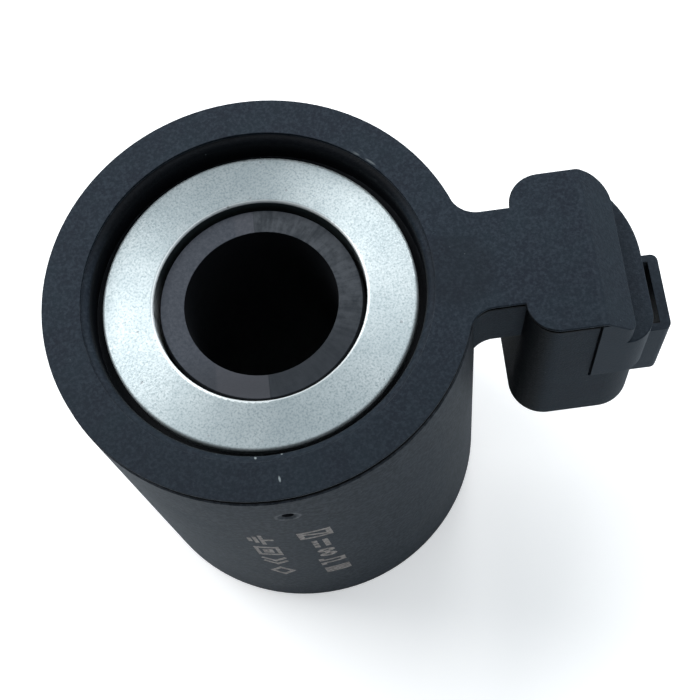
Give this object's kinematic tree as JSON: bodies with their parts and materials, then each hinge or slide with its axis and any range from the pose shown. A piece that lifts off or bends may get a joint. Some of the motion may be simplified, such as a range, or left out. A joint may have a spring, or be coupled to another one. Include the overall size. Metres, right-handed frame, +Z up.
{
  "type": "solenoid coil for a cartridge valve",
  "caption": "Round encapsulated solenoid coil for a cartridge valve, with a through bore and a connector head on a side arm, its socket facing down",
  "frame": {"origin": "centre of the bore on the bottom seating face", "axes": "+Z up the bore towards the nut side, +X along the arm towards the connector"},
  "size_m": [0.067, 0.045, 0.05],
  "materials": {
    "cover_plastic": "matte, fine spark-eroded mould texture",
    "can_coating": "satin black coating over steel",
    "zinc_plating": "bright zinc plating over fine-turned steel",
    "bobbin_plastic": "matte glass-filled nylon",
    "carrier_plastic": "matte glass-filled nylon",
    "magnet_wire": "enamelled copper",
    "insulation_tape": "translucent amber polyester film",
    "lead_sleeve": "varnished glass-fibre sleeve",
    "potting_resin": "cured black resin",
    "terminal_brass": "stamped brass strip",
    "contact_plating": "nickel-plated copper alloy",
    "solder": "tin solder"
  },
  "bodies": {
    "root": {"connector_housing": "cover_plastic", "flux_can": "can_coating", "upper_pole_plate": "zinc_plating", "lower_pole_plate": "zinc_plating", "bobbin": "bobbin_plastic", "winding": "magnet_wire", "winding_tape": "insulation_tape", "potting_resin": "potting_resin", "start_lead": "magnet_wire", "finish_lead": "magnet_wire", "start_lead_sleeve": "lead_sleeve", "start_solder_joint": "solder", "finish_solder_joint": "solder", "start_post": "terminal_brass", "finish_post": "terminal_brass", "start_terminal_strip": "terminal_brass", "finish_terminal_strip": "terminal_brass", "start_contact_pin": "contact_plating", "finish_contact_pin": "contact_plating", "pin_carrier": "carrier_plastic"}
  },
  "joints": []
}
